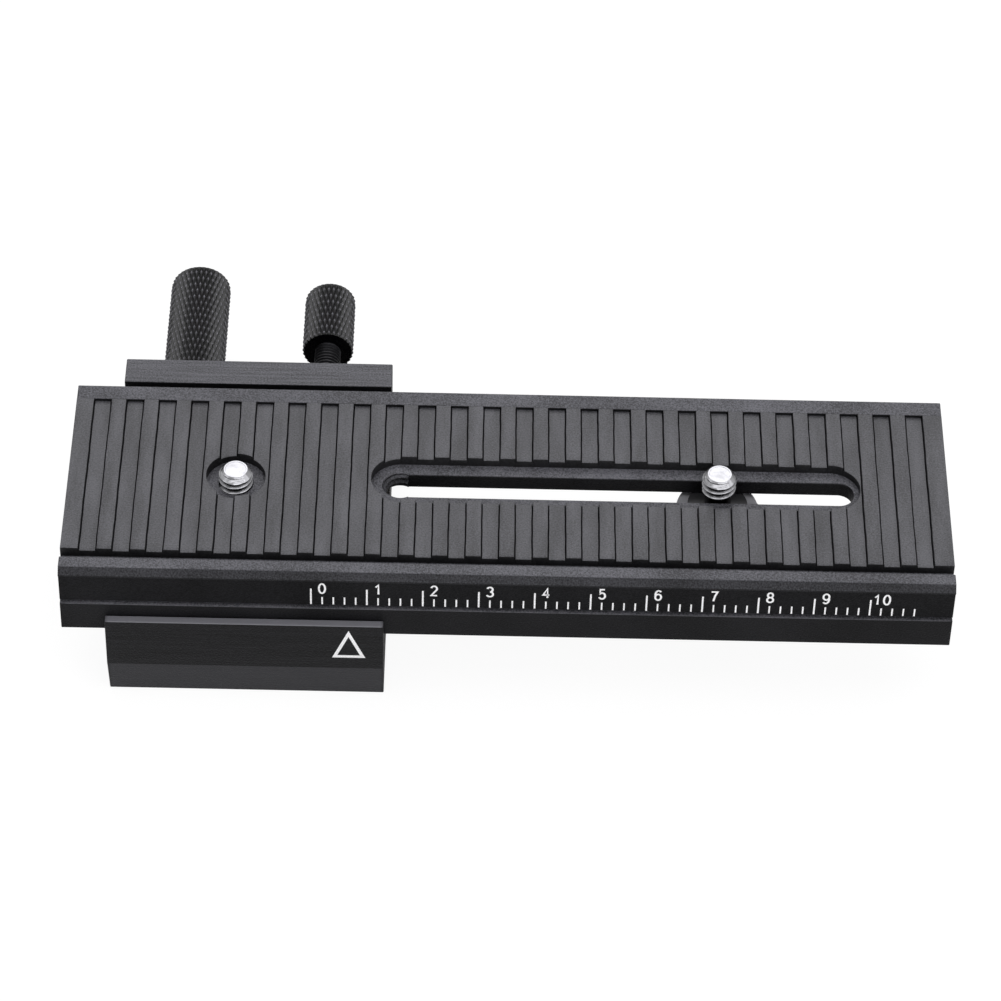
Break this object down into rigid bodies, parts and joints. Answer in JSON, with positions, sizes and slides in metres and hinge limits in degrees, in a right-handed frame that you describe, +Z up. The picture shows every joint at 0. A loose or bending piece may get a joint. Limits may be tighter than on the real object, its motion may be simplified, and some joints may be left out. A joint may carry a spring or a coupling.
{
  "type": "macro focusing rail",
  "caption": "Sliding focusing rail with a ribbed top, printed scale and slotted plate, on a clamp carriage with a rack-and-pinion knob and a lock knob.",
  "frame": {"origin": "mouth of the tripod thread, in the middle of the carriage's underside", "axes": "+X along the rail towards the scale's high end, +Y away from the scale to the knobs, +Z up"},
  "size_m": [0.16, 0.0972, 0.0337],
  "materials": {
    "anodised": "bead blasted and anodised black",
    "grip_rubber": "moulded, matt",
    "nickel": "nickel plated",
    "steel": "bright",
    "black_steel": "black oxide",
    "knob_black": "diamond knurled, anodised black",
    "brass": "machined",
    "acetal": "milled",
    "print_white": "screen-printed ink",
    "nylon": "moulded"
  },
  "bodies": {
    "carriage": {"carriage_body": "anodised", "tripod_bush": "steel", "front_bush": "brass", "rear_bush": "brass", "focus_washer": "nylon", "glide_strips": "acetal", "gib_pins": "steel"},
    "rail": {"rail_profile": "anodised", "grip_pad": "grip_rubber", "scale_strip": "anodised", "rack": "brass", "rack_screws": "steel", "stop_screws": "steel"},
    "focus_drive": {"focus_shaft": "steel", "pinion": "brass", "pinion_pin": "steel", "shaft_clip": "steel", "focus_knob": "knob_black", "focus_grub": "black_steel"},
    "clamp_jaw": {"clamp_gib": "anodised", "gib_retainer": "steel", "gib_rivets": "steel"},
    "lock_drive": {"lock_screw": "black_steel", "lock_knob": "knob_black", "lock_grub": "black_steel"},
    "left_screw": {"left_stem": "nickel", "left_head": "anodised", "left_washer": "nylon"},
    "left_loop": {"left_ring": "black_steel"},
    "slot_carrier": {"slot_washer": "nylon"},
    "slot_screw": {"slot_stem": "nickel", "slot_head": "anodised"},
    "slot_loop": {"slot_ring": "black_steel"}
  },
  "joints": [
    {"name": "rail_slide", "type": "slide", "parent": "carriage", "child": "rail", "axis": [1, 0, 0], "range_m": [-0.101, 0.007]},
    {"name": "focus_turn", "type": "hinge", "parent": "carriage", "child": "focus_drive", "pos_m": [-0.0135, 0.03, 0.0128], "axis": [0, 1, 0], "range_deg": [-1620, 120]},
    {"name": "jaw_slide", "type": "slide", "parent": "carriage", "child": "clamp_jaw", "axis": [0, 1, 0], "range_m": [-0.0001, 0.0006]},
    {"name": "lock_turn", "type": "hinge", "parent": "clamp_jaw", "child": "lock_drive", "pos_m": [0.0123, 0.03, 0.0195], "axis": [0, 1, 0], "range_deg": [-45, 270]},
    {"name": "left_screw_turn", "type": "hinge", "parent": "rail", "child": "left_screw", "pos_m": [-0.0026, 0.0013, 0.028], "axis": [0, 0, 1], "continuous": true},
    {"name": "left_ring_fold", "type": "hinge", "parent": "left_screw", "child": "left_loop", "pos_m": [-0.0026, 0.0013, 0.0201], "axis": [0, 1, 0], "range_deg": [0, 180]},
    {"name": "slot_travel", "type": "slide", "parent": "rail", "child": "slot_carrier", "axis": [1, 0, 0], "range_m": [-0.058, 0.0218]},
    {"name": "slot_screw_turn", "type": "hinge", "parent": "slot_carrier", "child": "slot_screw", "pos_m": [0.0853, 0.0013, 0.028], "axis": [0, 0, 1], "continuous": true},
    {"name": "slot_ring_fold", "type": "hinge", "parent": "slot_screw", "child": "slot_loop", "pos_m": [0.0853, 0.0013, 0.0214], "axis": [0, 1, 0], "range_deg": [0, 180]}
  ],
  "couplings": [
    {"joint": "focus_turn", "follows": "rail_slide", "rad_per_m": 277.78},
    {"joint": "lock_turn", "follows": "jaw_slide", "rad_per_m": 7854}
  ]
}
